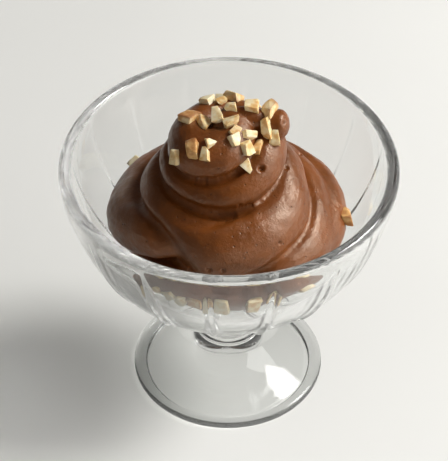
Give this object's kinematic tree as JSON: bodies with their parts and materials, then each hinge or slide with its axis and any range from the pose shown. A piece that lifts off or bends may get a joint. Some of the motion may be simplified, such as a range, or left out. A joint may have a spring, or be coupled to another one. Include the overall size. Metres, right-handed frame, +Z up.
{
  "type": "chocolate mousse in a glass coupe",
  "caption": "Dark chocolate mousse piped in a rising swirl, scattered with chopped hazelnuts, in a footed pressed-glass dessert coupe with a fluted bowl.",
  "frame": {"origin": "centre of the ring under the foot, on the surface the coupe stands on", "axes": "+Z up along the coupe's axis, -Y towards the front, +X to the right where the swirl's tail points"},
  "size_m": [0.1, 0.1, 0.1056],
  "materials": {
    "glass": "clear pressed glass, fire polished",
    "mousse": "smooth whipped chocolate mousse, moist, semi-gloss",
    "hazelnut": "dry chopped nut, pale cut faces and golden roasted skin"
  },
  "bodies": {
    "root": {"glass_coupe": "glass", "mousse": "mousse"}
  },
  "joints": []
}
